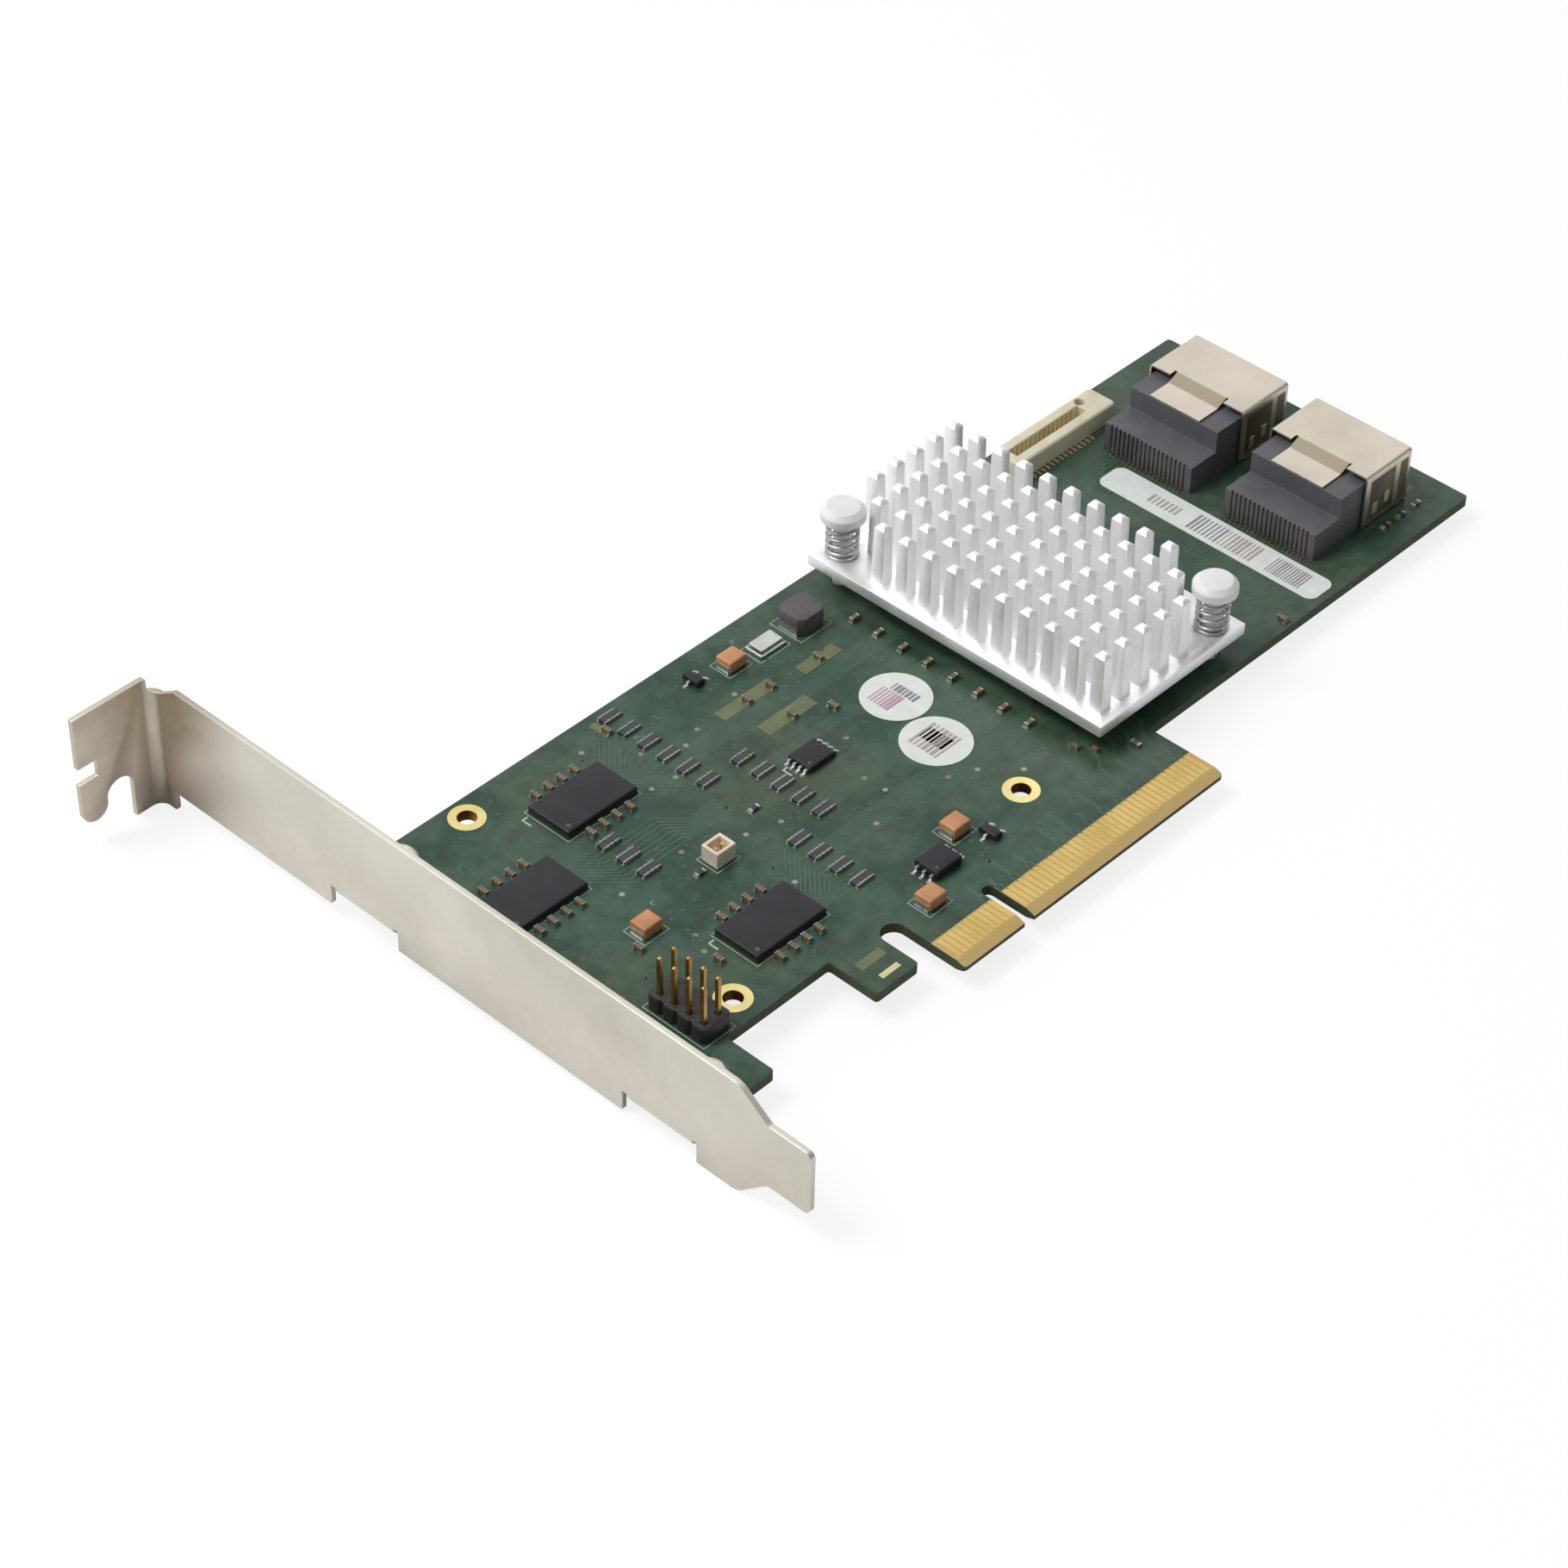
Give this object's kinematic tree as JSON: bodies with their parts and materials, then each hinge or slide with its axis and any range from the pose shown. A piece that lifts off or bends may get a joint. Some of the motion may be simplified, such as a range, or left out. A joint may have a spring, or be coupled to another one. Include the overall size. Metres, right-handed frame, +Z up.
{
  "type": "raid controller card",
  "caption": "Low-profile storage controller card: green board on a folded steel bracket, pin-fin heat sink on sprung push pins, two caged cable sockets, gold fingers.",
  "frame": {"origin": "on the bracket strip's outer face, level with the tips of the gold fingers and with the board's component face", "axes": "+X along the card from the bracket to the rear edge, +Y from the gold fingers to the top edge, +Z up out of the component face"},
  "size_m": [0.183, 0.12, 0.022],
  "materials": {
    "board_mask": "satin solder mask",
    "gold": "plated, bright",
    "bracket_steel": "nickel plated, satin",
    "screw_steel": "zinc plated",
    "heat_sink_aluminium": "clear anodised",
    "thermal_pad": "soft",
    "substrate": "laminate",
    "lid_metal": "plated, matte",
    "push_pin_plastic": "moulded",
    "spring_steel": "drawn wire",
    "chip_black": "moulded, matte",
    "housing_black": "moulded",
    "cage_metal": "tin plated, satin",
    "connector_cream": "moulded",
    "header_black": "moulded",
    "label_white": "coated paper",
    "solder_tin": "tinned",
    "ceramic_tan": "fired ceramic",
    "resistor_dark": "glazed",
    "tantalum_orange": "moulded",
    "ferrite": "pressed ferrite",
    "can_metal": "bright plated",
    "header_white": "moulded"
  },
  "bodies": {
    "root": {"circuit_board": "board_mask", "edge_contacts": "gold", "mounting_hole_rings": "gold", "bracket_hole_rings": "gold", "bracket": "bracket_steel", "bracket_screws": "screw_steel", "heat_sink": "heat_sink_aluminium", "thermal_pad": "thermal_pad", "controller_substrate": "substrate", "controller_lid": "lid_metal", "push_pin_upper": "push_pin_plastic", "push_pin_lower": "push_pin_plastic", "push_pin_spring_upper": "spring_steel", "push_pin_spring_lower": "spring_steel", "memory_chip_upper": "chip_black", "memory_chip_front": "chip_black", "memory_chip_lower": "chip_black", "sas_cage_upper": "cage_metal", "sas_cage_lower": "cage_metal", "sas_housing_upper": "housing_black", "sas_housing_lower": "housing_black", "sas_contacts_upper": "gold", "sas_contacts_lower": "gold", "battery_connector_body": "connector_cream", "battery_connector_contacts": "gold", "pin_header_base": "header_black", "pin_header_pins": "gold", "strip_label": "label_white", "round_label_upper": "label_white", "round_label_lower": "label_white", "supervisor_chip": "chip_black", "supervisor_leads": "solder_tin", "regulator_chip": "chip_black", "regulator_leads": "solder_tin", "transistors": "chip_black", "transistor_leads": "solder_tin", "ceramic_capacitors": "ceramic_tan", "capacitor_ends": "solder_tin", "resistors": "resistor_dark", "resistor_ends": "solder_tin", "resistor_arrays": "resistor_dark", "resistor_array_ends": "solder_tin", "tantalum_capacitors": "tantalum_orange", "tantalum_terminals": "solder_tin", "power_inductor": "ferrite", "inductor_terminals": "solder_tin", "crystal_can": "can_metal", "led_header_body": "header_white", "led_header_pins": "gold"}
  },
  "joints": []
}
